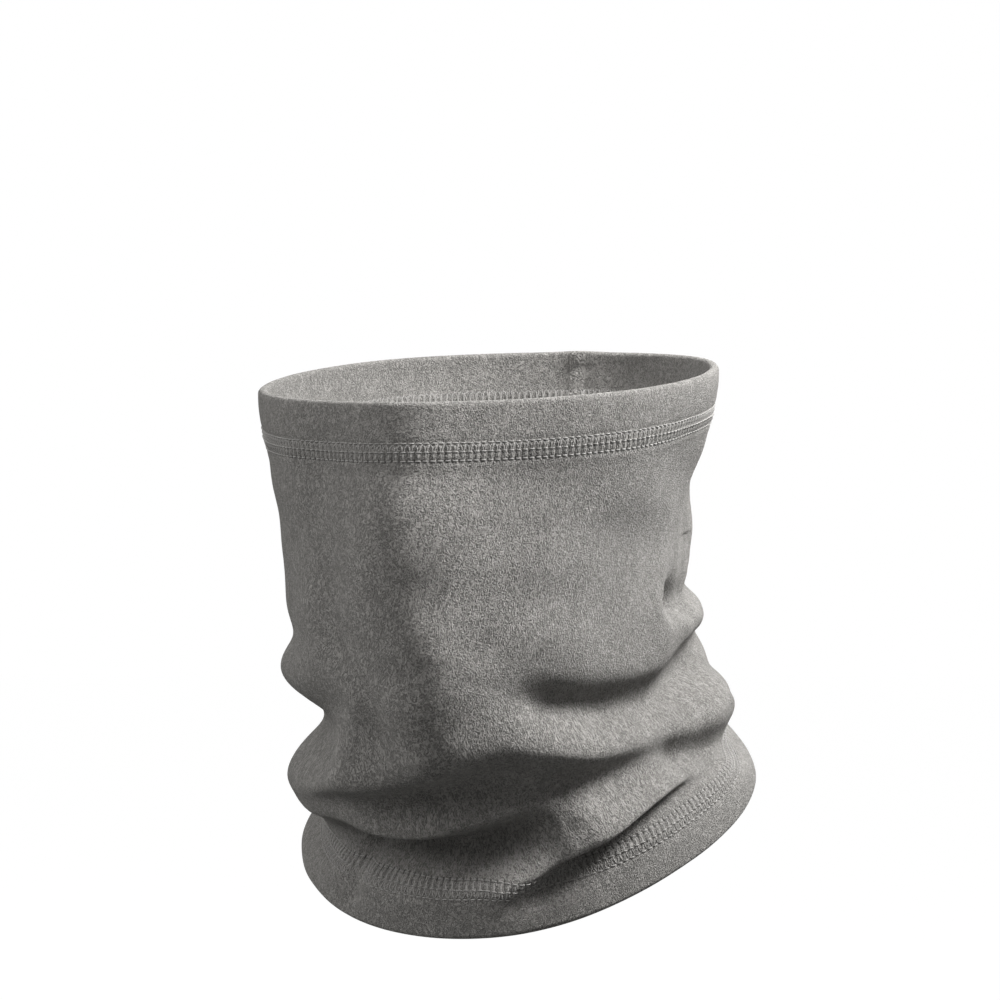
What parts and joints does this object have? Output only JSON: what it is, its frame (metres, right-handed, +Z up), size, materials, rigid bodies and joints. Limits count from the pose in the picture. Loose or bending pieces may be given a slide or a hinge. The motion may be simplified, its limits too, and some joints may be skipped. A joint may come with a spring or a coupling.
{
  "type": "fleece neck gaiter",
  "caption": "Soft fleece face-covering tube with turned, coverstitched hems, slumped in folds as worn over nose, chin and neck.",
  "frame": {"origin": "centre of the head opening, at the mean height of its rim", "axes": "+X to the wearer's left, +Y to the back of the head, +Z up out of the head opening"},
  "size_m": [0.1605, 0.2171, 0.1945],
  "materials": {
    "fleece": "brushed polyester microfleece, mid grey, pilled nap",
    "needle_thread": "spun polyester sewing thread, grey",
    "looper_thread": "textured polyester looper thread, grey",
    "label_ribbon": "blank woven satin ribbon, off-white"
  },
  "bodies": {
    "root": {"fleece_panel": "fleece", "top_hem_needle_thread_1": "needle_thread", "top_hem_needle_thread_2": "needle_thread", "top_hem_needle_thread_3": "needle_thread", "top_hem_cover_thread": "looper_thread", "top_hem_looper_thread": "looper_thread", "bottom_hem_needle_thread_1": "needle_thread", "bottom_hem_needle_thread_2": "needle_thread", "bottom_hem_needle_thread_3": "needle_thread", "bottom_hem_cover_thread": "looper_thread", "bottom_hem_looper_thread": "looper_thread", "back_seam_needle_thread_1": "needle_thread", "back_seam_needle_thread_2": "needle_thread", "back_seam_upper_looper_thread": "looper_thread", "back_seam_lower_looper_thread": "looper_thread", "care_label": "label_ribbon"}
  },
  "joints": []
}
